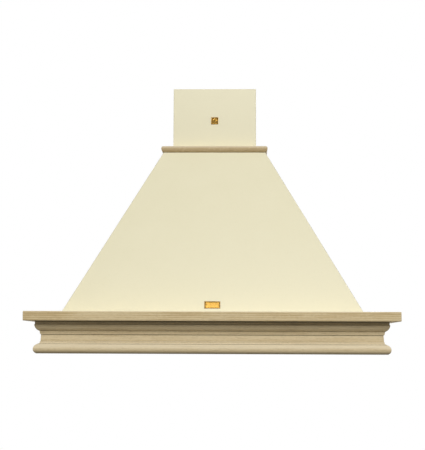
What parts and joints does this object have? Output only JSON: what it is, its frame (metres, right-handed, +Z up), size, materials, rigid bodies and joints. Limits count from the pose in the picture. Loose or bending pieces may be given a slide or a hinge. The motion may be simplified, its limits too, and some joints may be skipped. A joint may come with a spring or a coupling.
{
  "type": "kitchen range hood",
  "caption": "Wall-hung chimney hood: painted pyramid canopy and chimney cover with oak collar, shelf and crown moulding, and a working extractor inside.",
  "frame": {"origin": "middle of the hood's lowest edge, on the wall plane", "axes": "+Z up, +Y into the wall so that the hood's front faces -Y, +X to the right of someone facing the hood"},
  "size_m": [0.9, 0.5, 0.702],
  "materials": {
    "cream_paint": "satin powder coat on sheet steel",
    "oak": "clear satin varnish on light oak",
    "zinc_steel": "galvanised sheet steel",
    "panel_steel": "brushed stainless sheet",
    "filter_aluminium": "natural anodised",
    "lamp_trim": "satin chrome",
    "lamp_glass": "frosted",
    "black_plastic": "moulded, fine texture",
    "grey_plastic": "moulded, satin",
    "button_plastic": "moulded, polished",
    "motor_shell": "baked black enamel",
    "bright_steel": "ground, zinc plated",
    "brass": "polished and lacquered"
  },
  "bodies": {
    "root": {"shelf_front_board": "oak", "shelf_left_board": "oak", "shelf_right_board": "oak", "crown_front_moulding": "oak", "crown_left_moulding": "oak", "crown_right_moulding": "oak", "crown_corner_blocks": "oak", "collar_front_strip": "oak", "collar_left_strip": "oak", "collar_right_strip": "oak", "canopy_front_panel": "cream_paint", "canopy_left_panel": "cream_paint", "canopy_right_panel": "cream_paint", "canopy_top_plate": "zinc_steel", "chimney_cover": "cream_paint", "base_front_rail": "zinc_steel", "base_rear_rail": "zinc_steel", "base_left_rail": "zinc_steel", "base_right_rail": "zinc_steel", "back_panel": "zinc_steel", "underside_panel": "panel_steel", "filter_hinge_brackets": "zinc_steel", "lamp_bezel_left": "lamp_trim", "lamp_bezel_right": "lamp_trim", "lamp_lens_left": "lamp_glass", "lamp_lens_right": "lamp_glass", "lamp_housing_left": "zinc_steel", "lamp_housing_right": "zinc_steel", "control_bezel": "lamp_trim", "control_switch_box": "black_plastic", "blower_housing_left": "zinc_steel", "blower_housing_right": "zinc_steel", "motor": "motor_shell", "motor_bracket": "zinc_steel", "outlet_spigot": "grey_plastic", "damper_pin": "bright_steel", "terminal_box": "black_plastic", "terminal_box_lid": "black_plastic", "cable_gland": "black_plastic", "chimney_badge": "brass", "name_plate": "brass", "wood_screws": "bright_steel", "underside_screws": "bright_steel"},
    "chimney_extension": {"chimney_extension": "cream_paint", "chimney_wall_bracket": "zinc_steel"},
    "filter_left": {"filter_frame_left": "filter_aluminium", "filter_mesh_left": "filter_aluminium"},
    "filter_right": {"filter_frame_right": "filter_aluminium", "filter_mesh_right": "filter_aluminium"},
    "latch_left": {"filter_latch_left": "black_plastic"},
    "latch_right": {"filter_latch_right": "black_plastic"},
    "impeller": {"impeller": "grey_plastic", "motor_shaft": "bright_steel"},
    "damper_front": {"damper_flap_front": "grey_plastic"},
    "damper_rear": {"damper_flap_rear": "grey_plastic"},
    "button_light": {"button_light": "button_plastic"},
    "button_speed_low": {"button_speed_low": "button_plastic"},
    "button_speed_medium": {"button_speed_medium": "button_plastic"},
    "button_speed_high": {"button_speed_high": "button_plastic"}
  },
  "joints": [
    {"name": "chimney_extension_slide", "type": "slide", "parent": "root", "child": "chimney_extension", "axis": [0, 0, 1], "range_m": [0, 0.11]},
    {"name": "filter_left_hinge", "type": "hinge", "parent": "root", "child": "filter_left", "pos_m": [-0.16, -0.066, 0.041], "axis": [1, 0, 0], "range_deg": [0, 85]},
    {"name": "filter_right_hinge", "type": "hinge", "parent": "root", "child": "filter_right", "pos_m": [0.16, -0.066, 0.041], "axis": [1, 0, 0], "range_deg": [0, 85]},
    {"name": "filter_left_latch", "type": "slide", "parent": "filter_left", "child": "latch_left", "axis": [0, 1, 0], "range_m": [0, 0.005], "stiffness_N_per_m": 400},
    {"name": "filter_right_latch", "type": "slide", "parent": "filter_right", "child": "latch_right", "axis": [0, 1, 0], "range_m": [0, 0.005], "stiffness_N_per_m": 400},
    {"name": "impeller_spin", "type": "hinge", "parent": "root", "child": "impeller", "pos_m": [0, -0.178, 0.345], "axis": [1, 0, 0], "continuous": true},
    {"name": "damper_front_swing", "type": "hinge", "parent": "root", "child": "damper_front", "pos_m": [0, -0.115, 0.548], "axis": [-1, 0, 0], "range_deg": [0, 75]},
    {"name": "damper_rear_swing", "type": "hinge", "parent": "root", "child": "damper_rear", "pos_m": [0, -0.115, 0.548], "axis": [1, 0, 0], "range_deg": [0, 75]},
    {"name": "button_light_press", "type": "slide", "parent": "root", "child": "button_light", "axis": [0, 0, 1], "range_m": [0, 0.0025], "stiffness_N_per_m": 500},
    {"name": "button_speed_low_press", "type": "slide", "parent": "root", "child": "button_speed_low", "axis": [0, 0, 1], "range_m": [0, 0.0025], "stiffness_N_per_m": 500},
    {"name": "button_speed_medium_press", "type": "slide", "parent": "root", "child": "button_speed_medium", "axis": [0, 0, 1], "range_m": [0, 0.0025], "stiffness_N_per_m": 500},
    {"name": "button_speed_high_press", "type": "slide", "parent": "root", "child": "button_speed_high", "axis": [0, 0, 1], "range_m": [0, 0.0025], "stiffness_N_per_m": 500}
  ]
}
